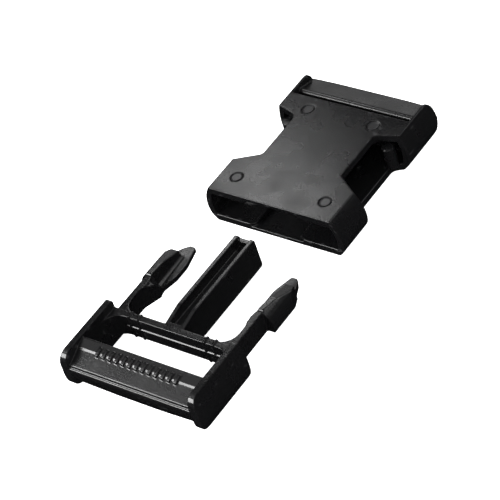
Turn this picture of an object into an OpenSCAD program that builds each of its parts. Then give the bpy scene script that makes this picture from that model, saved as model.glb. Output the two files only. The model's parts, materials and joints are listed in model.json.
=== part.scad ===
// Side release buckle for 38 mm webbing, shown open: the socket lies at +Y, the plug at -Y.
// The plug slides along +Y into the socket, and its two prongs squeeze in towards the guide.

/* [Webbing] */
// Width of the webbing that the buckle takes
webbing_w = 38; // [25:1:50]
// Side play of the webbing between the plug's rails, both sides together
webbing_play = 1.6; // [0.8:0.1:2.5]
// Side play of the webbing between the socket's ears, both sides together
slot_play = 0.6; // [0.4:0.1:1.4]

/* [Body] */
// Height of the socket and of the plug's rails
body_h = 12.2; // [12:0.1:15]
// Thickness of the rails and of the socket's ears at their widest
rail_t = 2.6; // [2:0.1:3.2]
// Height at which the sides are widest
belly_z = 5.2; // [4:0.1:7]
// How far the rails come in from their widest to the top
rail_lean = 0.8; // [0.2:0.1:1.2]
// How far the rails come in from their widest to the bottom
rail_low = 0.8; // [0.2:0.1:1.4]
// Distance that the plug stands out of the socket, from stop face to mouth
pull_out = 44.2; // [35:0.1:60]

/* [Socket] */
// Depth of the hollow behind the mouth
hollow_depth = 38.6; // [37:0.1:45]
// Wall at the back of the hollow
back_wall = 2; // [1.5:0.1:3]
// Side walls of the front collar and the rear pockets
side_wall = 1.8; // [1.4:0.1:2.2]
// How far the socket's sides come in from their widest to the top plate
socket_lean = 2.4; // [1:0.1:2.6]
// How far the socket's sides come in from their widest to the bottom
socket_low = 2.2; // [1:0.1:2.6]
// Thickness of the top plate and of the bottom plate
plate_t = 2.2; // [1.8:0.1:2.4]
// Thickness of both plates in the centre channel, where the guide runs
channel_t = 1.2; // [1:0.1:1.6]
// Width of the centre channel
channel_w = 14.5; // [8:0.5:18]
// Rounding of the channel's corners at the mouth, which leads the guide in
channel_lead = 2.4; // [0.5:0.1:3]
// Length of the front collar along the sides
collar_len = 12; // [10:0.1:14]
// Length of the side window from the collar to the rear wing
window_len = 22.8; // [21:0.1:26]
// Width of the top plate at the waist
waist_w = 26; // [20:0.1:30]
// Width of the bottom plate at the waist
floor_waist_w = 32.6; // [26:0.1:36]
// How far the rear wings' widest lies inside the collar's
wing_inset = 1.2; // [0:0.1:1.6]
// How far the window's front edge runs back on its way in
window_front_rake = 4.4; // [2:0.1:5]
// How far the window's rear edge runs forward on its way in
window_rear_rake = 2; // [1:0.1:3]
// Diameter of the stop posts behind the prong tips
post_d = 3.6; // [3:0.1:4.5]
// Gap between a prong's tip and its stop post
post_gap = 1.8; // [0.6:0.1:2]
// Gap between a stop post and the side wall
post_inset = 2.2; // [1:0.1:2.6]
// Top of the stop posts, measured down from the top plate's underside
post_drop = 1; // [0.6:0.1:3]
// Gap for the webbing behind the top plate
socket_slot = 2.3; // [2:0.1:4]
// Depth of the socket's webbing bar, front to rear
bar_depth = 7.6; // [5:0.1:9]
// Height of the webbing bar's front edge below the top plate
bar_drop = 1.1; // [0.5:0.1:2]
// How much further down the webbing bar's rear edge lies
bar_fall = 2.4; // [0:0.1:3.5]
// Thickness of the webbing bar
bar_t = 4; // [3:0.1:5]
// How far the webbing bar's rear edge is bowed out
bar_bow = 0.8; // [0.4:0.1:1.5]
// Rounding of the webbing bar's edges
bar_r = 1.1; // [0.4:0.1:1.2]
// How far the ears stop short of the webbing bar's ends
ear_short = 0.2; // [0:0.1:2]
// Diameter of the round ejector marks on the top plate
mark_d = 3.8; // [2.5:0.1:5]
// Depth of the ejector marks
mark_deep = 0.15; // [0.1:0.05:0.4]
// Place of the front marks, from the middle
front_mark_x = 14.6; // [10:0.1:16]
// Place of the front marks, from the mouth
front_mark_y = 6.3; // [4:0.1:8]
// Place of the rear marks, from the middle
rear_mark_x = 10.8; // [4:0.1:14]
// Place of the rear marks, from the mouth
rear_mark_y = 36; // [30:0.1:37]

/* [Plug] */
// Length of the plug's side rails
rail_len = 21.6; // [19:0.1:28]
// Rounding of the rails' outer corners, at the grip bar
rail_round = 3.2; // [1.5:0.1:4]
// Rounding of the rails' inner corners, at the stop face
rail_end_r = 1; // [0.4:0.1:2]
// Clear length of the webbing opening, from the grip bar to the cross bar
opening_len = 11; // [8:0.1:14]
// Thickness of the cross bar that carries guide and prongs
cross_t = 2; // [1.6:0.1:3]
// Rounding between the cross bar and the rails
cross_round = 4.5; // [2:0.1:5]
// How far the grip bar's rear edge lies below the rails' top
grip_drop = 0.5; // [0.2:0.1:1.5]
// Distance from the grip bar's rear edge to its crest
crest_back = 3; // [2:0.1:4]
// How far the crest lies below the rear edge
crest_fall = 1; // [0.4:0.1:1.6]
// Small step down in front of the crest
crest_step = 0.4; // [0.1:0.05:0.6]
// How far the front lip lies below the rear edge
lip_fall = 3.5; // [2.6:0.1:4]
// How far the front lip lies behind the grip bar's front
lip_back = 0.9; // [0.6:0.1:1.4]
// Step from the upper lip down to the lower one
lip_step = 0.9; // [0.7:0.1:1.2]
// How far the grip bar's skirt slants back on its way down
skirt_back = 1.8; // [0.8:0.1:3]
// Wall thickness of the grip bar
grip_t = 2.1; // [1.6:0.1:2.5]
// Height of the skirt's lower edge, in the middle
skirt_lift = 0.8; // [0.2:0.1:2]
// Number of grip ribs
rib_count = 13; // [7:2:15]
// Distance from rib to rib
rib_pitch = 2.14; // [1.8:0.02:2.3]
// Width of a grip rib
rib_w = 1.05; // [0.8:0.05:1.3]
// Height of the grip ribs
rib_h = 0.5; // [0.3:0.05:0.8]
// Reach of the grip ribs behind the crest
rib_rear = 1.5; // [1:0.1:2]
// Reach of the grip ribs in front of the crest
rib_front = 1; // [0.6:0.1:1.5]
// Slant of the grip ribs
rib_slant = -9; // [-20:1:20]

/* [Guide] */
// Length of the centre guide in front of the stop face
guide_len = 33; // [28:0.1:34]
// Width of the centre guide
guide_w = 6.2; // [5:0.1:7]
// Thickness of the guide's two side walls
guide_wall = 1.2; // [1:0.1:1.6]
// Depth of the channels in the guide's top and underside
guide_channel = 3; // [1.5:0.1:3.2]
// Length of the slope from the guide's root to its full height
guide_ramp = 6; // [4:0.1:8]
// How much lower the guide's end wall is than its side walls
end_low = 0.9; // [0.4:0.1:1.4]
// Play of the guide between the plates, each side
guide_play = 0.15; // [0.15:0.05:0.3]

/* [Prongs] */
// Length of the prongs in front of the stop face
prong_len = 29.4; // [28:0.1:32]
// Thickness of the bending stem
stem_t = 1.6; // [1.6:0.1:2.2]
// Gap between a stem and the rail's inner face
stem_gap = 0.65; // [0.5:0.05:1.2]
// Play of the prongs between the plates, each side
prong_play = 0.4; // [0.3:0.05:0.6]
// How far the barb lies inside the socket's widest side
barb_inset = 0.7; // [0.3:0.1:0.9]
// Play of the barb behind the collar when fastened
barb_play = 0.5; // [0.3:0.1:1]
// Height of the blade's inner edge above the finger pad's underside
blade_t = 2.5; // [1.8:0.1:3]
// How far the blade's underside lies above the finger pad's
blade_lift = 1; // [0.3:0.1:1.2]
// How far the flank behind the barb steps in from the stem
flank_in = 1.7; // [1:0.1:2.4]
// How far the blade reaches in from the stem
blade_in = 3.3; // [2.6:0.1:4]
// Length of the flank, from the stem to its innermost
flank_len = 4.2; // [3:0.1:4.6]
// How far the flank's innermost lies behind the barb
flank_back = 1; // [0:0.1:2]
// How far the flank's inner edge lies below the finger pad's top
flank_fall = 2; // [1:0.1:2.6]
// Length of the finger pad's straight side in front of the barb
head_len = 9; // [6:0.1:10]
// How far a prong's outer side leans in from its widest, if it went on to the full height of the body
pad_lean = 6.4; // [4:0.1:8]
// Small step from the stem's top up to the finger pad
pad_step = 0.4; // [0.1:0.05:0.6]
// How far the finger pad's ridge falls from the barb to its front end
pad_fall = 2.4; // [1:0.1:3]
// How far the finger pad stops short of the blade's tip
pad_short = 4.4; // [3:0.1:6]
// Width of the finger pad's front end
pad_end_w = 1.2; // [0.8:0.1:1.6]
// How far the tip's outer rim lies below the finger pad's front end
tip_drop = 1; // [0.6:0.1:1.6]
// Width of the blade's tip
tip_w = 1.9; // [1.4:0.1:2.6]
// How far the tip lies inside the stem's middle
tip_in = 1.6; // [1:0.1:2.4]
// Distance of the bending point from the stop face, and rounding of the root that runs up to it
bend_out = 4.4; // [2:0.1:4.6]

/* [Hidden] */
$fn = 64;
eps = 0.01;
past = 2;                 // how far cutters run past a face
arc_steps = 5;            // straight steps in a rounded corner
side_steps = 12;          // straight steps in a bulged side
edge_r = 0.4;             // rounding of small edges
seat_play = 0.08;         // running gap round a prong's rounded root
channel_gap = 0.8;        // solid stretch of the guide in front of the stop face
window_front_r = 1.6;     // rounding of the windows' front corners
window_rear_r = 2.2;      // rounding of the windows' rear corners
ear_r = 3;                // rounding of the ears' rear ends
ear_low_back = 1.4;       // how far the ears' lower corner lies in front of their end
ear_top_back = 0.8;       // how far the ears' upper corner lies in front of their end
skirt_sag_r = 130;        // radius of the grip bar's sagging lower edge
crest_r = 1.2;            // rounding of the grip bar's underside and of the slope behind its crest
waist_low = 1.5;          // how far the grip bar's narrowest place lies below mid height
waist_r = 3.5;            // rounding of the grip bar's skirt at that place
head_r = 6.5;             // rounding of the finger pad's outline
half_turn = 180;

half_in = (webbing_w + webbing_play) / 2;
half_w = half_in + rail_t;
slot_half = (webbing_w + slot_play) / 2;
ear_t = half_w - slot_half;
mid_z = body_h / 2;

window_rear = collar_len + window_len;
window_mid = collar_len + window_len / 2;
plate_end = hollow_depth + back_wall;
bar_front = plate_end + socket_slot;
bar_rear = bar_front + bar_depth;
ear_end = bar_rear - ear_short;
post_y = prong_len + post_gap + post_d / 2;
post_x = half_w - side_wall - post_d / 2 - post_inset;

stem_out = half_in - stem_gap;
stem_mid = stem_out - stem_t / 2;
prong_lo = plate_t + prong_play;
prong_hi = body_h - plate_t - prong_play;
guide_lo = channel_t + guide_play;
guide_hi = body_h - channel_t - guide_play;
barb_y = collar_len + barb_play;
barb_x = half_w - barb_inset;
grip_rear = -cross_t - opening_len;
grip_top = body_h - grip_drop;

// Both halves together are centred on the origin, front to rear
rear_most = bar_rear + bar_bow;
front_most = -pull_out - rail_len;
centre_y = (rear_most + front_most) / 2;

// Corner b between a and c, rounded by radius r
function unit(v) = v / norm(v);
function corner(a, b, c, r) = r <= 0 ? [b] :
    let (
        u = unit(a - b),
        w = unit(c - b),
        half = acos(u * w) / 2,
        s = b + u * r / tan(half),
        e = b + w * r / tan(half),
        o = b + unit(u + w) * r / sin(half),
        from = atan2(s.y - o.y, s.x - o.x),
        to = atan2(e.y - o.y, e.x - o.x),
        turn = (to - from + 3 * half_turn) % (2 * half_turn) - half_turn
    )
    [for (i = [0:arc_steps]) o + r * [cos(from + turn * i / arc_steps), sin(from + turn * i / arc_steps)]];

// Outline through points [x, y, corner radius]
function rounded(p) = let (n = len(p), q = [for (v = p) [v.x, v.y]])
    [for (i = [0:n - 1]) each corner(q[(i + n - 1) % n], q[i], q[(i + 1) % n], p[i].z)];

// Half width of a bulged side at height z, widest at belly_z
function side(z, lean, low) = z > belly_z
    ? half_w - lean * pow((z - belly_z) / (body_h - belly_z), 2)
    : half_w - low * pow((belly_z - z) / belly_z, 3);

// The same side with its widest part drawn in, and its top and bottom as before
function wing(z) = side(z, socket_lean - wing_inset, socket_low) - wing_inset;
function collar(z) = side(z, socket_lean, socket_low);
function rail(z) = side(z, rail_lean, rail_low);

// Cross section between two heights, with sides that follow a function of height less a wall
function barrel(half, z0, z1, wall = 0) = let (rise = (z1 - z0) / side_steps) concat(
    [for (i = [0:side_steps]) [half(z0 + i * rise) - wall, z0 + i * rise]],
    [for (i = [side_steps:-1:0]) [wall - half(z0 + i * rise), z0 + i * rise]]);

// Extrudes an XZ section along Y
module along_y(points, y0, y1)
    translate([0, y1, 0]) rotate([90, 0, 0]) linear_extrude(y1 - y0) polygon(points);

// Extrudes a YZ section along X
module along_x(points, x0, x1)
    translate([x0, 0, 0]) rotate([90, 0, 90]) linear_extrude(x1 - x0) polygon(points);

// Extrudes an XY outline upwards
module upright(points, z0, z1)
    translate([0, 0, z0]) linear_extrude(z1 - z0) polygon(points);

module both_sides() {
    children();
    mirror([1, 0, 0]) children();
}

// Side opening of a plate: in from the collar, along the waist and out to the rear wing
module window(waist, z0, z1) {
    far = half_w + past;
    shoulder = half_w - socket_lean;
    upright(rounded([
        [far, collar_len, 0],
        [shoulder, collar_len, 0],
        [waist / 2, collar_len + window_front_rake, window_front_r],
        [waist / 2, window_rear - window_rear_rake, window_rear_r],
        [shoulder, window_rear, 0],
        [far, window_rear, 0]]), z0, z1);
}

// Side view of the ears: everything behind the plate outside this outline is cut away
module ear_ends() {
    difference() {
        translate([-half_w - past, plate_end, -past])
            cube([2 * (half_w + past), ear_end, body_h + 2 * past]);
        along_x(rounded([
            [plate_end - past, 0, 0],
            [ear_end - ear_low_back, 0, ear_r],
            [ear_end, mid_z, ear_r],
            [ear_end - ear_top_back, body_h, ear_r],
            [plate_end - past, body_h, 0]]), -half_w - 2 * past, half_w + 2 * past);
    }
}

module ejector_marks() {
    both_sides() for (place = [[front_mark_x, front_mark_y], [rear_mark_x, rear_mark_y]])
        translate([place.x, place.y, body_h - mark_deep]) cylinder(d = mark_d, h = past);
}

// Centre channel, its corners rounded at the mouth
module channel() {
    edge = channel_w / 2;
    flare = edge + 2 * channel_lead;
    upright(rounded([
        [-flare, -past, 0],
        [-flare, 0, 0],
        [-edge, 0, channel_lead],
        [-edge, hollow_depth, 0],
        [edge, hollow_depth, 0],
        [edge, 0, channel_lead],
        [flare, 0, 0],
        [flare, -past, 0]]), channel_t, body_h - channel_t);
}

// Flat hollow shell of collar, waist and rear wings, open in front and at both sides
module socket_shell() {
    difference() {
        union() {
            along_y(barrel(function (z) collar(z), 0, body_h), 0, window_mid);
            along_y(barrel(function (z) wing(z), 0, body_h), window_mid, ear_end);
        }
        along_y(barrel(function (z) collar(z), plate_t, body_h - plate_t, side_wall), -past, window_mid);
        along_y(barrel(function (z) wing(z), plate_t, body_h - plate_t, side_wall), window_mid - eps,
            hollow_depth);
        // centre channel for the guide
        channel();
        // side windows, deeper in the top plate
        both_sides() {
            window(floor_waist_w, -past, body_h + past);
            window(waist_w, mid_z, body_h + past);
        }
        // room for the webbing behind the back wall
        translate([-slot_half, plate_end, -past]) cube([2 * slot_half, ear_end, body_h + 2 * past]);
        ear_ends();
        ejector_marks();
    }
}

// Bar behind the plate that the webbing is sewn round, its top falling to the rear
module webbing_bar() {
    top = body_h - bar_drop;
    low = top - bar_fall - bar_t;
    bow_r = (pow(slot_half, 2) + pow(bar_bow, 2)) / (2 * bar_bow);
    reach = slot_half + ear_t / 3;
    intersection() {
        along_x(rounded([
            [bar_front, top, bar_r],
            [rear_most, top - bar_fall, bar_r],
            [rear_most, low + bar_t / 3, bar_r],
            [bar_front + bar_depth / 2, low, bar_r],
            [bar_front, top - bar_t, bar_r]]), -reach, reach);
        translate([0, rear_most - bow_r, 0]) cylinder(r = bow_r, h = body_h, $fn = 360);
    }
}

// Round post that the tip of the right hand prong stops at
module stop_post() {
    translate([post_x, post_y, plate_t - eps]) cylinder(d = post_d, h = body_h - 2 * plate_t - post_drop);
}

module socket() {
    color("#26282b") translate([0, -centre_y, 0]) {
        socket_shell();
        webbing_bar();
        both_sides() stop_post();
    }
}

// Side rails and cross bar
module plug_frame() {
    difference() {
        intersection() {
            along_y(barrel(function (z) rail(z), 0, body_h), -rail_len, 0);
            along_x(rounded([
                [-rail_len, 0, rail_round],
                [0, 0, rail_end_r],
                [0, body_h, rail_end_r],
                [-rail_len, body_h, rail_round]]), -half_w - past, half_w + past);
        }
        // between the rails, behind the cross bar
        upright(rounded([
            [-half_in, -rail_len - past, 0],
            [half_in, -rail_len - past, 0],
            [half_in, -cross_t, cross_round],
            [-half_in, -cross_t, cross_round]]), -past, body_h + past);
        // above and below the cross bar
        for (z = [-past, prong_hi])
            translate([-half_in, -rail_len - past, z])
                cube([2 * half_in, rail_len + 2 * past, prong_lo + past]);
    }
}

// Section of the grip bar: sloping top, crest, double lip and a skirt that slants down and back
module grip_bar() {
    front = -rail_len;
    crest = [grip_rear - crest_back, grip_top - crest_fall];
    lip = [front + lip_back, grip_top - lip_fall];
    skirt = [front + skirt_back, skirt_lift];
    waist = [front + skirt_back / 4, mid_z - waist_low];
    reach = half_in + rail_t / 2;
    intersection() {
        along_x(rounded([
            [grip_rear, grip_top, edge_r],
            [crest.x, crest.y, edge_r / 2],
            [crest.x - crest_step, crest.y - crest_step, edge_r / 2],
            [lip.x, lip.y, edge_r],
            [lip.x - lip_back / 3, lip.y - lip_step, edge_r / 2],
            [front + lip_back / 3, lip.y - lip_step + edge_r, edge_r / 2],
            [front, lip.y - 2 * lip_step + edge_r, edge_r],
            [waist.x, waist.y, waist_r],
            [skirt.x, skirt.y, edge_r],
            [skirt.x + grip_t, skirt.y, edge_r],
            [waist.x + grip_t, waist.y + edge_r, waist_r],
            [crest.x, crest.y - crest_step - grip_t, crest_r],
            [grip_rear, crest.y - crest_step - grip_t / 2, 2 * edge_r]]), -reach, reach);
        // the skirt's lower edge sags towards the middle
        translate([0, 0, skirt_sag_r + skirt_lift]) rotate([90, 0, 0])
            cylinder(r = skirt_sag_r, h = 2 * rail_len, $fn = 360);
    }
    grip_ribs(crest);
}

// Row of short ribs across the crest, parallel to the slope behind it
module grip_ribs(crest) {
    slope = crest_fall / crest_back;
    sunk = -grip_t / 2;
    for (i = [0:rib_count - 1])
        translate([(i - (rib_count - 1) / 2) * rib_pitch, crest.x, crest.y])
            rotate(rib_slant)
                along_x([
                    [rib_rear, sunk],
                    [rib_rear, slope * rib_rear + rib_h / 2],
                    [rib_rear - rib_h, slope * rib_rear + rib_h / 2],
                    [0, rib_h],
                    [-rib_front, 0],
                    [-rib_front, sunk]], -rib_w / 2, rib_w / 2);
}

// Centre guide: two side walls round open channels, with an end wall a little lower
module guide() {
    channel_half = guide_w / 2 - guide_wall;
    channel_end = guide_len - guide_wall;
    difference() {
        along_x(rounded([
            [-cross_t / 2, prong_lo, 0],
            [0, prong_lo, 0],
            [guide_ramp, guide_lo, guide_ramp],
            [guide_len, guide_lo, 2 * edge_r],
            [guide_len, guide_hi, 2 * edge_r],
            [guide_ramp, guide_hi, guide_ramp],
            [0, prong_hi, 0],
            [-cross_t / 2, prong_hi, 0]]), -guide_w / 2, guide_w / 2);
        for (z = [guide_lo - past, guide_hi - guide_channel])
            translate([-channel_half, channel_gap, z])
                cube([2 * channel_half, channel_end - channel_gap, guide_channel + past]);
        // the end wall between the channels
        for (z = [guide_lo - past, guide_hi - end_low])
            translate([-channel_half, guide_len / 2, z]) cube([2 * channel_half, guide_len, end_low + past]);
    }
}

// Outer side of a prong, bulged like the socket's and a little inside it
module prong_side(y0, y1)
    along_y([
        for (i = [0:side_steps]) let (z = (body_h - past) * i / side_steps)
            [side(z, pad_lean, socket_low) - barb_inset, z],
        [0, body_h - past],
        [0, 0]], y0, y1);

// Short stub that carries a prong, with the rounding to the cross bar on its inner side
module prong_root() {
    inner = stem_out - stem_t;
    difference() {
        intersection() {
            upright([
                [stem_out, -cross_t / 2],
                [stem_out, bend_out],
                [inner, bend_out],
                for (i = [0:arc_steps]) let (a = 90 * i / arc_steps)
                    [inner - bend_out * (1 - cos(a)), bend_out * (1 - sin(a))],
                [inner - bend_out, -cross_t / 2]], prong_lo, prong_hi);
            prong_side(-cross_t, bend_out + past);
        }
        translate([stem_mid, bend_out, 0]) cylinder(r = stem_t / 2 + seat_play, h = body_h);
    }
}

module plug() {
    color("#242629") translate([0, -pull_out - centre_y, 0]) {
        plug_frame();
        grip_bar();
        guide();
        both_sides() prong_root();
    }
}

// Section above a prong's dished inner side: a hollow curve from its foot out and up to its wall
function dish(foot, wall) = concat(
    [[0, foot.y]],
    [for (i = [0:arc_steps]) let (a = 90 * i / arc_steps)
        [foot.x + (wall.x - foot.x) * sin(a), foot.y + (wall.y - foot.y) * (1 - cos(a))]],
    [[wall.x, body_h], [0, body_h]]);

// Room above the dished side, from one section to the next
module dished(sections)
    for (i = [0:len(sections) - 2]) hull() for (at = [sections[i], sections[i + 1]])
        along_y(dish(at[1], at[2]), at[0], at[0] + eps);

// Right hand prong in the plug's own place: stem, finger pad and a low leaf shaped blade
module prong_shape() {
    inner = stem_out - stem_t;
    flank_x = inner - flank_in;
    blade_x = inner - blade_in;
    blade_top = prong_lo + blade_t;
    flank_y = barb_y - flank_back;
    flank_foot = [flank_x - flank_in, prong_hi - flank_fall];
    widest_y = barb_y + head_len;
    pad_end = prong_len - pad_short;
    pad_x = stem_out - pad_end_w;
    tip_x = stem_mid - tip_in;
    tip_top = prong_hi - pad_fall - tip_drop;
    end_y = prong_len + past;
    difference() {
        intersection() {
            union() {
                translate([stem_mid, bend_out, prong_lo]) cylinder(d = stem_t, h = prong_hi - prong_lo);
                upright(rounded([
                    [inner, bend_out, 0],
                    [stem_out, bend_out, 0],
                    [stem_out, barb_y, edge_r],
                    [barb_x, barb_y, edge_r],
                    [barb_x, widest_y, head_r],
                    [stem_out, prong_len - tip_w, head_r / 2],
                    [tip_x + tip_w / 2, prong_len, tip_w / 2.4],
                    [tip_x - tip_w / 2, prong_len, tip_w / 2.4],
                    [blade_x, prong_len - head_r, head_r],
                    [blade_x, flank_y + head_r, head_r / 2],
                    [flank_x, flank_y, 2 * edge_r],
                    [inner, flank_y - flank_len, head_r / 2]]), prong_lo, prong_hi);
            }
            prong_side(0, end_y);
        }
        // the inner side is dished: first the flank, then the wall along the pad
        dished([
            [flank_y - flank_len, flank_foot, [inner - edge_r, prong_hi]],
            [flank_y, flank_foot, [inner - edge_r, prong_hi]],
            [barb_y + flank_back, [flank_x - edge_r, blade_top], [inner, prong_hi]],
            [pad_end, [flank_x + edge_r, blade_top], [pad_x, prong_hi]]]);
        // in front of the pad only the blade goes on
        dished([
            [pad_end, [flank_x - edge_r, blade_top], [half_w, tip_top + tip_drop]],
            [end_y, [flank_x - edge_r, blade_top - pad_step], [half_w, tip_top]]]);
        // the blade's underside lies higher than the finger pad's
        upright([
            [0, barb_y],
            [flank_x, barb_y],
            [pad_x, pad_end],
            [half_w + past, pad_end],
            [half_w + past, end_y],
            [0, end_y]], 0, prong_lo + blade_lift);
        // the stem is a little lower than the pad, whose ridge falls towards the tip
        along_x([
            [0, prong_hi - pad_step],
            [barb_y + edge_r, prong_hi - pad_step],
            [barb_y + edge_r + pad_step, prong_hi],
            [(barb_y + pad_end) / 2, prong_hi - pad_fall / 4],
            [pad_end, prong_hi - pad_fall],
            [pad_end, body_h],
            [0, body_h]], 0, half_w + past);
    }
}

module prong_right() {
    color("#232528") translate([0, -pull_out - centre_y, 0]) prong_shape();
}

module prong_left() {
    color("#232528") translate([0, -pull_out - centre_y, 0]) mirror([1, 0, 0]) prong_shape();
}

socket();
plug();
prong_left();
prong_right();
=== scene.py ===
"""The looks of a side release buckle for 38 mm webbing, laid open: a socket, a plug and its two prongs.

Every piece is black moulded acetal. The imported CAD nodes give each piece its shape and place. Here each one
gets the rounded edges, beads and grain that a steel mould leaves on it. Sizes and places in this file are in
millimetres, turns in degrees and the lights' powers in watts.
"""

import json
import logging
import math
from collections.abc import Callable
from dataclasses import dataclass
from enum import Enum

import bmesh
import bpy
from mathutils import Matrix, Vector


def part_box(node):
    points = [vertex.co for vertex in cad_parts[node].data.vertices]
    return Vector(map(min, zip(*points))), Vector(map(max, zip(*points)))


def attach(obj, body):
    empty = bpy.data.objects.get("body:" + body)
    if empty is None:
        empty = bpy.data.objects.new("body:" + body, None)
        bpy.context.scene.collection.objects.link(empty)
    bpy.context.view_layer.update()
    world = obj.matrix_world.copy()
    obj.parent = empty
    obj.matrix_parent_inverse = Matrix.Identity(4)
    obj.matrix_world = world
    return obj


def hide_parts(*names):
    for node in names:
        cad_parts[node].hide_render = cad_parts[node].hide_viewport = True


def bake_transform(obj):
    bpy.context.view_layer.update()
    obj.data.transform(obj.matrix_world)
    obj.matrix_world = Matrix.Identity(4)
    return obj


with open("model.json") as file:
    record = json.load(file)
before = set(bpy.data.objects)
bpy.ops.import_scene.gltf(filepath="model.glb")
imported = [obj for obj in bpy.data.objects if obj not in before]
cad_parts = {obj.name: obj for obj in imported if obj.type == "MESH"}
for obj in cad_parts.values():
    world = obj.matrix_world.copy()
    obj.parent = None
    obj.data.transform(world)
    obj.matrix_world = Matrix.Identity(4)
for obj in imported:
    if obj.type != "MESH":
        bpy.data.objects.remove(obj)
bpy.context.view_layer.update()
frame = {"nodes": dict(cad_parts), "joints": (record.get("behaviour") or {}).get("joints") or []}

LOG = logging.getLogger("buckle")
MM = 0.001
# corners of a CAD node's loose triangles that lie closer than this are one corner
SAME_PLACE = 0.001
# how far a cutting block stands past what it cuts
PAST = 1.0
# from this share of its length on, a direction counts as along an axis
ALONG = 0.9
# up to this share of its length, a direction counts as across an axis
ACROSS = 0.1
# a noise texture's values lie mostly between these two
NOISE_LOW = 0.3
NOISE_HIGH = 0.7
# a Mix node's sockets for colours
MIX_FIRST = 6
MIX_SECOND = 7
MIX_RESULT = 2


class Side(Enum):
    """The two sides of the buckle, seen from the plug: the value is the sign of X."""

    LEFT = -1
    RIGHT = 1

    @property
    def word(self) -> str:
        """The side's name, as the CAD nodes spell it."""
        return self.name.lower()


class Skin(Enum):
    """How the steel under a face was finished, which the plastic copies."""

    SPARKED = "sparked"
    GROUND = "ground"


class Element(Enum):
    """What is picked on a piece that is open in edit mode."""

    FACES = "faces"
    EDGES = "edges"


class Kept(Enum):
    """What a cutting block leaves of the piece that it cuts."""

    OUTSIDE = "DIFFERENCE"
    INSIDE = "INTERSECT"


def linear(colour: str) -> tuple[float, float, float, float]:
    """Turns an sRGB hex colour to linear light.

    Args:
        colour: the colour, such as "#101112".

    Returns:
        Red, green, blue and alpha, for a shader socket.
    """
    parts = [int(colour[i:i + 2], 16) / 255 for i in (1, 3, 5)]
    return (*(c / 12.92 if c <= 0.04045 else ((c + 0.055) / 1.055) ** 2.4 for c in parts), 1.0)


def add_node(tree: bpy.types.NodeTree, kind: str, settings: dict | None = None,
             inputs: dict | None = None) -> bpy.types.Node:
    """Adds a node to a tree, with its settings and links.

    Args:
        tree: the node tree.
        kind: the node's type.
        settings: attributes of the node, by name.
        inputs: values by socket name or number. A socket of another node is linked.

    Returns:
        The new node.
    """
    node = tree.nodes.new(kind)
    for name, value in (settings or {}).items():
        setattr(node, name, value)
    for name, value in (inputs or {}).items():
        if isinstance(value, bpy.types.NodeSocket):
            tree.links.new(value, node.inputs[name])
        else:
            node.inputs[name].default_value = value
    return node


@dataclass(frozen=True)
class BlackAcetal:
    """Acetal coloured black in the mass and injection moulded: a dark skin with a soft, slightly waxy shine.

    The mould was spark eroded, so its faces carry a fine dry grain of pits and bumps. Its pins were ground,
    so what they leave is plain.
    """

    name: str
    skin: Skin = Skin.SPARKED
    body: str = "#0b0b0c"
    # painted highlight: the sharpest edges are painted a little paler, which stands in for light along them
    rubbed: str = "#242425"
    # the painted highlight starts on an edge at the first pointiness and is full at the second
    edge_from: float = 0.53
    edge_to: float = 0.62
    shine: float = 0.28
    shine_change: float = 0.05
    ior: float = 1.48
    # the real grain is about 0.05 mm wide, drawn coarser so that it shows in the picture
    grain_w: float = 0.38
    grain_h: float = 0.030
    # the real pits are about 0.1 mm wide, drawn coarser for the same reason
    pit_w: float = 0.7
    pit_h: float = 0.010
    # slow waves where the melt flowed and shrank
    flow_w: float = 9.0

    def material(self) -> bpy.types.Material:
        """Makes the material, or finds it if it is there already.

        Returns:
            The material.
        """
        found = bpy.data.materials.get(self.name)
        if found:
            return found
        made = bpy.data.materials.new(self.name)
        made.use_nodes = True
        tree = made.node_tree
        tree.nodes.clear()
        place = add_node(tree, "ShaderNodeTexCoord").outputs["Object"]
        flow = add_node(tree, "ShaderNodeTexNoise", None,
                        {"Vector": place, "Scale": 1 / (self.flow_w * MM), "Detail": 3.0}).outputs["Fac"]
        bent = add_node(tree, "ShaderNodeNewGeometry").outputs["Pointiness"]
        edge = add_node(tree, "ShaderNodeMapRange", {"interpolation_type": "SMOOTHSTEP"},
                        {"Value": bent, "From Min": self.edge_from,
                         "From Max": self.edge_to}).outputs["Result"]
        # painted highlight: the colour is mixed paler on the sharpest edges
        colour = add_node(tree, "ShaderNodeMix", {"data_type": "RGBA"},
                          {"Factor": edge, MIX_FIRST: linear(self.body),
                           MIX_SECOND: linear(self.rubbed)}).outputs[MIX_RESULT]
        rough = add_node(tree, "ShaderNodeMapRange", None,
                         {"Value": flow, "From Min": NOISE_LOW, "From Max": NOISE_HIGH,
                          "To Min": self.shine - self.shine_change,
                          "To Max": self.shine + self.shine_change}).outputs["Result"]
        inputs = {"Base Color": colour, "Roughness": rough, "IOR": self.ior}
        if self.skin is Skin.SPARKED:
            inputs["Normal"] = self.grain(tree, place)
        shader = add_node(tree, "ShaderNodeBsdfPrincipled", None, inputs)
        add_node(tree, "ShaderNodeOutputMaterial", None, {"Surface": shader.outputs["BSDF"]})
        return made

    def grain(self, tree: bpy.types.NodeTree, place: bpy.types.NodeSocket) -> bpy.types.NodeSocket:
        """Adds the spark eroded grain.

        Args:
            tree: the material's node tree.
            place: the socket that gives the place on the piece.

        Returns:
            The socket of the roughened normal.
        """
        fine = add_node(tree, "ShaderNodeTexNoise", None,
                        {"Vector": place, "Scale": 1 / (self.grain_w * MM), "Detail": 2.0})
        pits = add_node(tree, "ShaderNodeTexVoronoi", {"feature": "SMOOTH_F1"},
                        {"Vector": place, "Scale": 1 / (self.pit_w * MM), "Smoothness": 0.6})
        first = add_node(tree, "ShaderNodeBump", None,
                         {"Height": fine.outputs["Fac"], "Distance": self.grain_h * MM})
        both = add_node(tree, "ShaderNodeBump", None,
                        {"Height": pits.outputs["Distance"], "Distance": self.pit_h * MM,
                         "Normal": first.outputs["Normal"]})
        return both.outputs["Normal"]


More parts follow.
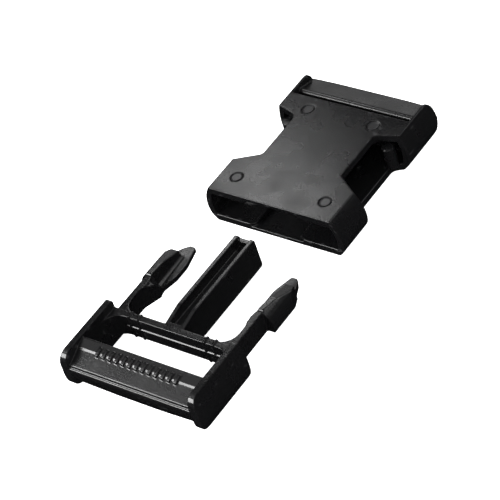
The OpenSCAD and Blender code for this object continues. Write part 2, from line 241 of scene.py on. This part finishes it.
def select_only(*objects: bpy.types.Object) -> None:
    """Selects these objects and no others.

    Args:
        objects: what is selected. The first one becomes the active one.
    """
    bpy.ops.object.select_all(action="DESELECT")
    for item in objects:
        item.select_set(True)
    bpy.context.view_layer.objects.active = objects[0]


def edit(piece: bpy.types.Object) -> None:
    """Opens a piece in edit mode with nothing selected.

    Args:
        piece: the piece.
    """
    select_only(piece)
    bpy.ops.object.mode_set(mode="EDIT")
    bpy.ops.mesh.select_mode(type="FACE")
    bpy.ops.mesh.select_all(action="DESELECT")


def leave() -> None:
    """Goes back to object mode."""
    bpy.ops.object.mode_set(mode="OBJECT")


def pick(piece: bpy.types.Object, kind: Element, test: Callable[[Vector, Vector], bool]) -> None:
    """Selects what passes a test, in edit mode, and deselects the rest.

    Args:
        piece: the piece that is open in edit mode.
        kind: what is picked.
        test: takes an element's centre in millimetres, and a face's normal or an edge's direction.
    """
    bpy.ops.mesh.select_mode(type="FACE" if kind is Element.FACES else "EDGE")
    bpy.ops.mesh.select_all(action="DESELECT")
    mesh = bmesh.from_edit_mesh(piece.data)
    for item in getattr(mesh, kind.value):
        if kind is Element.FACES:
            centre = item.calc_center_median()
            direction = item.normal
        else:
            start, end = (vert.co for vert in item.verts)
            centre = (start + end) / 2
            direction = (end - start).normalized()
        if test(centre / MM, direction):
            item.select_set(True)
    mesh.select_flush_mode()
    bmesh.update_edit_mesh(piece.data)


def settle(piece: bpy.types.Object) -> None:
    """Puts a piece's place, turn and scale in its mesh."""
    select_only(piece)
    bpy.ops.object.transform_apply(location=True, rotation=True, scale=True)


def block(name: str, low: Vector, high: Vector) -> bpy.types.Object:
    """Adds a block between two corners, with its place in its mesh.

    Args:
        name: the new object's name.
        low: its lowest corner.
        high: its highest corner.

    Returns:
        The new object, at the origin.
    """
    bpy.ops.object.select_all(action="DESELECT")
    bpy.ops.mesh.primitive_cube_add(size=1, location=(low + high) / 2 * MM)
    made = bpy.context.active_object
    made.name = name
    made.scale = (high - low) * MM
    settle(made)
    return made


def finish_with(piece: bpy.types.Object, kind: str, **settings: object) -> None:
    """Adds a modifier to a piece and applies it.

    Args:
        piece: the piece.
        kind: the modifier's type.
        settings: the modifier's settings, by name.
    """
    select_only(piece)
    modifier = piece.modifiers.new(kind.lower(), kind)
    for name, value in settings.items():
        setattr(modifier, name, value)
    bpy.ops.object.modifier_apply(modifier=modifier.name)


def cut(piece: bpy.types.Object, tool: bpy.types.Object, kept: Kept) -> None:
    """Cuts a piece with a closed tool, which is used up.

    Args:
        piece: the piece that is cut.
        tool: the closed mesh that cuts it.
        kept: which part of the piece stays.
    """
    finish_with(piece, "BOOLEAN", object=tool, operation=kept.value, solver="EXACT")
    bpy.data.objects.remove(tool)


def joined(name: str, parts: list[bpy.types.Object]) -> bpy.types.Object:
    """Joins several meshes into one object.

    Args:
        name: the joined object's name.
        parts: what is joined. The first one stays.

    Returns:
        The joined object.
    """
    select_only(*parts)
    if len(parts) > 1:
        bpy.ops.object.join()
    whole = bpy.context.active_object
    whole.name = name
    whole.data.name = name
    return whole


def repeated(piece: bpy.types.Object, shifts: list[Vector]) -> list[bpy.types.Object]:
    """Copies a piece to several places, each copy with its own mesh.

    Args:
        piece: the piece, which takes the first place.
        shifts: how far each one is moved.

    Returns:
        The piece and its copies.
    """
    copies = [piece]
    for _ in shifts[1:]:
        copy = piece.copy()
        copy.data = piece.data.copy()
        bpy.context.scene.collection.objects.link(copy)
        copies.append(copy)
    for copy, shift in zip(copies, shifts):
        copy.location = shift * MM
        settle(copy)
    return copies


@dataclass
class Moulding:
    """One moulding of black acetal: a CAD node's copy, with its edges rounded as a mould leaves them."""

    node: str
    slot: str
    # spacing of the grid that the copy is cast in before its edges are rounded
    cast_grid: float
    # each pass of smoothing rounds the edges a little more
    round_passes: int
    # how far a pass moves a point towards the middle of its neighbours
    round_step: float = 0.5
    most_triangles: int = 180_000
    # how strongly large faces set the shading, and which faces count as equally large
    flat_weight: int = 60
    flat_step: float = 0.01
    finish: BlackAcetal = BlackAcetal("black_acetal_sparked")

    @property
    def low(self) -> Vector:
        """The node's lowest corner."""
        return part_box(self.node)[0] / MM

    @property
    def high(self) -> Vector:
        """The node's highest corner."""
        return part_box(self.node)[1] / MM

    def copied(self) -> bpy.types.Object:
        """Copies the CAD node's mesh and merges its loose triangles. The node itself stays as it is.

        Returns:
            The copy, with no material.
        """
        mesh = frame["nodes"][self.node].data.copy()
        copy = bpy.data.objects.new(self.node + "_copy", mesh)
        bpy.context.scene.collection.objects.link(copy)
        edit(copy)
        bpy.ops.mesh.select_all(action="SELECT")
        bpy.ops.mesh.remove_doubles(threshold=SAME_PLACE * MM)
        leave()
        copy.data.materials.clear()
        return copy

    def cast(self, name: str, parts: list[bpy.types.Object]) -> bpy.types.Object:
        """Fuses parts that overlap into one closed skin with rounded edges.

        Args:
            name: the finished piece's name.
            parts: closed meshes that overlap.

        Returns:
            The finished piece.
        """
        piece = joined(name, parts)
        finish_with(piece, "REMESH", mode="VOXEL", voxel_size=self.cast_grid * MM, use_smooth_shade=True)
        finish_with(piece, "SMOOTH", factor=self.round_step, iterations=self.round_passes)
        # the grid's faces have four corners, so each one makes two triangles
        triangles = 2 * len(piece.data.polygons)
        if triangles > self.most_triangles:
            finish_with(piece, "DECIMATE", ratio=self.most_triangles / triangles)
        select_only(piece)
        bpy.ops.object.shade_smooth()
        # large faces set the shading, so flat sides stay flat up to their rounded edges
        finish_with(piece, "WEIGHTED_NORMAL", mode="FACE_AREA", weight=self.flat_weight,
                    thresh=self.flat_step)
        return piece

    def dress(self, piece: bpy.types.Object, finish: BlackAcetal) -> None:
        """Gives a piece its finish.

        Args:
            piece: the finished piece.
            finish: its finish.
        """
        piece.data.materials.clear()
        piece.data.materials.append(finish.material())


@dataclass
class Socket(Moulding):
    """The flat hollow half that the plug clicks into, with the marks of four ejector pins on its top."""

    node: str = "socket"
    slot: str = "acetal_socket"
    cast_grid: float = 0.15
    round_passes: int = 3
    mark_d: float = 2.9
    # thickness of a mark's disc, most of it inside the socket's wall
    mark_t: float = 0.4
    mark_corners: int = 64
    # a mark's middle lies this much lower than the socket's top
    mark_depth: float = 0.05
    # a thin bead of flash stands round each mark
    bead_w: float = 0.28
    bead_h: float = 0.12
    # share of the bead's width that each rounded edge takes, and its steps
    bead_round: float = 0.4
    bead_steps: int = 3
    # each mark's distance from the middle and from the mouth
    front_mark: tuple[float, float] = (14.6, 6.3)
    rear_mark: tuple[float, float] = (10.8, 36.0)
    # edges that bend less than this are shaded smooth
    smooth_angle: float = 40.0
    # the pins' plain ends leave the skin duller; the marks are also painted a little paler, a painted sheen
    # for the light they catch
    mark_finish: BlackAcetal = BlackAcetal("black_acetal_ground", Skin.GROUND, body="#1b1b1c", shine=0.34)

    def build(self) -> list[bpy.types.Object]:
        """Builds the socket and the ejector marks, and sets them on their body.

        Returns:
            The socket and the marks.
        """
        shell = self.cast("socket_moulding", [self.copied()])
        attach(shell, "socket")
        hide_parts(self.node)
        self.dress(shell, self.finish)
        marks = self.ejector_marks()
        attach(marks, "socket")
        # the marks' paler colour is a painted sheen
        self.dress(marks, self.mark_finish)
        return [shell, marks]

    def ejector_marks(self) -> bpy.types.Object:
        """Models the round marks: a disc with a rounded bead round it and a slightly sunk middle.

        Returns:
            All four marks, as one piece.
        """
        bpy.ops.object.select_all(action="DESELECT")
        bpy.ops.mesh.primitive_cylinder_add(vertices=self.mark_corners,
                                            radius=(self.mark_d / 2 + self.bead_w / 2) * MM,
                                            depth=self.mark_t * MM,
                                            location=(0, 0, (self.bead_h - self.mark_t / 2) * MM))
        mark = bpy.context.active_object
        settle(mark)
        edit(mark)
        pick(mark, Element.FACES, lambda centre, normal: normal.z > ALONG)
        bpy.ops.mesh.inset(thickness=self.bead_w * MM)
        bpy.ops.transform.translate(value=(0, 0, -(self.bead_h + self.mark_depth) * MM))
        # a second, thin inset keeps the middle flat
        bpy.ops.mesh.inset(thickness=self.bead_w / 3 * MM)
        bead_top = self.bead_h - SAME_PLACE
        pick(mark, Element.EDGES, lambda centre, way: centre.z > bead_top and abs(way.z) < ACROSS)
        bpy.ops.mesh.bevel(offset=self.bead_round * self.bead_w * MM, segments=self.bead_steps)
        leave()
        select_only(mark)
        bpy.ops.object.shade_smooth_by_angle(angle=math.radians(self.smooth_angle))
        places = [Vector((side.value * x, self.low.y + y, self.high.z))
                  for side in Side for x, y in (self.front_mark, self.rear_mark)]
        return joined("ejector_marks", repeated(mark, places))


@dataclass(frozen=True)
class RootPlace:
    """The stretch between the cross bar and a prong's hinge, where the real plug bends."""

    # front of the cross bar
    bar_front: float = -36.95
    bar_t: float = 2.0
    # from the rounding's inner end to just outside the stem
    inner: float = 12.6
    outer: float = 19.6
    # in front of the cross bar, the plug has no more of a root from here on
    reach: float = 8.0
    # the stem lies this much lower than the cross bar's top
    step_down: float = 0.4

    @property
    def bar_rear(self) -> float:
        """The cross bar's rear side."""
        return self.bar_front - self.bar_t

    def block(self, side: Side, low: float, high: float, back: float, front: float) -> bpy.types.Object:
        """Makes a block round the root.

        Args:
            side: which prong's root.
            low: the block's underside.
            high: the block's top.
            back: how far the block reaches into the cross bar.
            front: where the block ends in front.

        Returns:
            The block, as a cutting tool.
        """
        left, right = sorted((side.value * self.inner, side.value * self.outer))
        return block("root_block", Vector((left, self.bar_front - back, low)), Vector((right, front, high)))


@dataclass
class Plug(Moulding):
    """The half with the rails, the ribbed grip bar and the centre guide. It carries the two prongs."""

    node: str = "plug"
    slot: str = "acetal_plug"
    cast_grid: float = 0.13
    round_passes: int = 3
    root: RootPlace = RootPlace()
    # thin beads that the mould's inserts left across the cross bar, by their distance from the middle
    bead_places: tuple[float, float] = (10.9, 13.8)
    bead_w: float = 0.6
    bead_h: float = 0.35
    bead_steps: int = 3
    # the cross bar's underside and top
    bar_low: float = 2.6
    bar_high: float = 9.6
    # the line across the cross bar's rear side where the mould's halves part
    line_reach: float = 15.4
    line_w: float = 0.9
    line_h: float = 0.4
    line_steps: int = 2
    # share of a bead's or the line's height that its rounded edge takes
    edge_round: float = 0.8

    def build(self) -> list[bpy.types.Object]:
        """Builds the plug without its prongs' roots, and sets it on its body.

        Returns:
            The plug, as the only piece.
        """
        body = self.copied()
        front = self.root.bar_front + self.root.reach
        for side in Side:
            cut(body, self.root.block(side, -PAST, self.high.z + PAST, 0.0, front), Kept.OUTSIDE)
        piece = self.cast("plug_moulding", [body, *self.beads(), self.parting_line()])
        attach(piece, "plug")
        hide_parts(self.node)
        self.dress(piece, self.finish)
        return [piece]

    def beads(self) -> list[bpy.types.Object]:
        """Models the beads that stand out all round the cross bar, with rounded edges.

        Returns:
            The beads of both sides.
        """
        rear = self.root.bar_rear - self.bead_h / 2
        front = self.root.bar_front + self.bead_h / 2
        made = []
        for x in (side.value * place for side in Side for place in self.bead_places):
            bead = block("bead", Vector((x - self.bead_w / 2, rear, self.bar_low - self.bead_h)),
                         Vector((x + self.bead_w / 2, front, self.bar_high + self.bead_h)))
            edit(bead)
            pick(bead, Element.EDGES, lambda centre, way: abs(way.x) > ALONG)
            bpy.ops.mesh.bevel(offset=self.edge_round * self.bead_h * MM, segments=self.bead_steps)
            leave()
            made.append(bead)
        return made

    def parting_line(self) -> bpy.types.Object:
        """Models the raised line that the mould's parting leaves on the cross bar's rear side.

        Returns:
            The line, with its back in the cross bar.
        """
        rear = self.root.bar_rear
        middle = (self.bar_low + self.bar_high) / 2
        line = block("parting_line",
                     Vector((-self.line_reach, rear - self.line_h, middle - self.line_w / 2)),
                     Vector((self.line_reach, rear + self.root.bar_t / 2, middle + self.line_w / 2)))
        edit(line)
        pick(line, Element.EDGES, lambda centre, way: abs(way.x) > ALONG and centre.y < rear)
        bpy.ops.mesh.bevel(offset=self.edge_round * self.line_h * MM, segments=self.line_steps)
        leave()
        return line


@dataclass
class Prong(Moulding):
    """A springy prong. It is one moulding with the plug and bends near its root."""

    node: str = ""
    slot: str = "acetal_prong"
    cast_grid: float = 0.10
    round_passes: int = 22
    side: Side = Side.RIGHT
    place: RootPlace = RootPlace()
    # the plastic bends this far on either side of the hinge
    bend_reach: float = 4.1
    stem_t: float = 1.6
    # how deep the root is buried in the cross bar
    bury: float = 0.9
    # the gap round the hinge is filled this far on either side of it
    fill_reach: float = 1.2

    @property
    def hinge(self) -> Vector:
        """The place that the CAD model turns the prong about."""
        joint = next(j for j in frame["joints"] if j["child"] == self.node)
        return Vector(joint["pos_m"]) / MM

    @property
    def stem_top(self) -> float:
        """The top of the prong's stem."""
        return self.high.z - self.place.step_down

    def build(self) -> list[bpy.types.Object]:
        """Builds the prong with its root and gives it its finish.

        Returns:
            The prong, as the only piece.
        """
        piece = self.cast(f"{self.node}_moulding", [self.copied(), self.stub(), self.filler()])
        reach = Vector((0, self.bend_reach, 0))
        (self.hinge - reach) * MM
        (self.hinge + reach) * MM
        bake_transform(piece)
        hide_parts(self.node)
        self.dress(piece, self.finish)
        return [piece]

    def stub(self) -> bpy.types.Object:
        """Takes the root with its rounding off a copy of the plug.

        Returns:
            The root.
        """
        root = Plug().copied()
        tool = self.place.block(self.side, self.low.z - PAST, self.stem_top, self.bury, self.hinge.y + PAST)
        cut(root, tool, Kept.INSIDE)
        return root

    def filler(self) -> bpy.types.Object:
        """Models the plastic in the gap that the CAD model leaves round the hinge.

        Returns:
            A block as thick and as high as the stem.
        """
        half = self.stem_t / 2
        return block("filler", Vector((self.hinge.x - half, self.hinge.y - self.fill_reach, self.low.z)),
                     Vector((self.hinge.x + half, self.hinge.y + self.fill_reach, self.stem_top)))


@dataclass
class PhotoCamera:
    """The camera, at the photograph's angle to the buckle."""

    target: tuple[float, float, float] = (0.23, -4.06, 6.1)
    distance: float = 633.35
    azimuth: float = 48.18
    elevation: float = 41.47
    roll: float = -19.68
    lens: float = 173.69
    sensor: float = 36.0
    # nothing nearer than this is seen
    nearest: float = 10.0

    def build(self) -> None:
        """Makes the camera and looks through it."""
        turn, rise, roll = (math.radians(a) for a in (self.azimuth, self.elevation, self.roll))
        back = Vector((math.sin(turn) * math.cos(rise), -math.cos(turn) * math.cos(rise), math.sin(rise)))
        level = Vector((math.cos(turn), math.sin(turn), 0))
        upward = back.cross(level)
        right = level * math.cos(roll) + upward * math.sin(roll)
        up = upward * math.cos(roll) - level * math.sin(roll)
        eye = (Vector(self.target) + back * self.distance) * MM
        data = bpy.data.cameras.new("camera")
        data.lens = self.lens
        data.sensor_width = self.sensor
        data.clip_start = self.nearest * MM
        camera = bpy.data.objects.new("camera", data)
        bpy.context.scene.collection.objects.link(camera)
        turned = Matrix((right, up, back)).transposed().to_4x4()
        camera.matrix_world = Matrix.Translation(eye) @ turned
        bpy.context.scene.camera = camera


@dataclass(frozen=True)
class SoftLight:
    """A soft box: a rectangle that shines on the buckle."""

    name: str
    place: tuple[float, float, float]
    width: float
    height: float
    power: float
    aim: tuple[float, float, float] = (0.0, 0.0, 6.0)

    def build(self) -> None:
        """Hangs the soft box at its place, turned to what it aims at."""
        data = bpy.data.lights.new(self.name, "AREA")
        data.shape = "RECTANGLE"
        data.size = self.width * MM
        data.size_y = self.height * MM
        data.energy = self.power
        light = bpy.data.objects.new(self.name, data)
        bpy.context.scene.collection.objects.link(light)
        place = Vector(self.place)
        light.location = place * MM
        light.rotation_euler = (place - Vector(self.aim)).to_track_quat("Z", "Y").to_euler()
        light.visible_camera = False


@dataclass
class Studio:
    """A white table in a white room. The soft boxes leave the buckle's sides dark, as in the photograph."""

    floor_size: float = 6000.0
    floor_colour: str = "#f4f4f4"
    floor_roughness: float = 0.9
    # the table glows a little, so that it looks white all over
    white: str = "#ffffff"
    floor_glow: float = 0.95
    room_glow: float = 1.0
    lights: tuple[SoftLight, ...] = (
        # the strongest one makes the bright lines on the edges that face the front
        SoftLight("front_light", (-336.0, -396.0, 300.0), 320.0, 220.0, 4.5),
        # the socket's top mirrors this small near one, so it gets darker towards the rear
        SoftLight("left_light", (-114.0, 108.0, 150.0), 44.0, 44.0, 0.046),
        SoftLight("high_light", (-390.0, -90.0, 573.0), 400.0, 300.0, 0.24),
        SoftLight("rear_light", (-390.0, 551.0, 175.0), 500.0, 200.0, 0.3),
        SoftLight("top_light", (0.0, -100.0, 900.0), 900.0, 700.0, 0.45),
        # these are for the sides that the photograph doesn't show
        SoftLight("right_fill", (420.0, -420.0, 420.0), 500.0, 400.0, 1.5),
        SoftLight("back_fill", (330.0, 480.0, 420.0), 500.0, 400.0, 1.3),
    )

    def build(self) -> None:
        """Makes the floor, the room and the lights."""
        bpy.context.scene.view_settings.view_transform = "Standard"
        self.floor()
        self.room()
        for light in self.lights:
            light.build()

    def floor(self) -> None:
        """Lays the floor under the buckle. The plastic doesn't mirror it, so its sides stay black."""
        bpy.ops.object.select_all(action="DESELECT")
        bpy.ops.mesh.primitive_plane_add(size=self.floor_size * MM)
        floor = bpy.context.active_object
        floor.name = "floor"
        floor.visible_glossy = False
        made = bpy.data.materials.new("white_table")
        made.use_nodes = True
        tree = made.node_tree
        tree.nodes.clear()
        shader = add_node(tree, "ShaderNodeBsdfPrincipled", None,
                          {"Base Color": linear(self.floor_colour), "Roughness": self.floor_roughness,
                           "Emission Color": linear(self.white), "Emission Strength": self.floor_glow})
        add_node(tree, "ShaderNodeOutputMaterial", None, {"Surface": shader.outputs["BSDF"]})
        floor.data.materials.append(made)

    def room(self) -> None:
        """Makes the room white where the camera sees it, and keeps it out of the plastic's gloss."""
        world = bpy.data.worlds.new("room")
        bpy.context.scene.world = world
        world.use_nodes = True
        tree = world.node_tree
        tree.nodes.clear()
        shade = add_node(tree, "ShaderNodeBackground", None,
                         {"Color": linear(self.white), "Strength": self.room_glow})
        add_node(tree, "ShaderNodeOutputWorld", None, {"Surface": shade.outputs["Background"]})
        world.cycles_visibility.glossy = False


def main() -> None:
    """Builds the camera, the studio and the buckle's parts in order, and reports each piece."""
    logging.basicConfig(level=logging.INFO, format="%(name)s: %(message)s")
    PhotoCamera().build()
    Studio().build()
    prongs = [Prong(node=f"prong_{side.word}", side=side) for side in Side]
    for part in (Socket(), Plug(), *prongs):
        for piece in part.build():
            LOG.info("%s: %d faces", piece.name, len(piece.data.polygons))


if __name__ == "__main__":
    main()
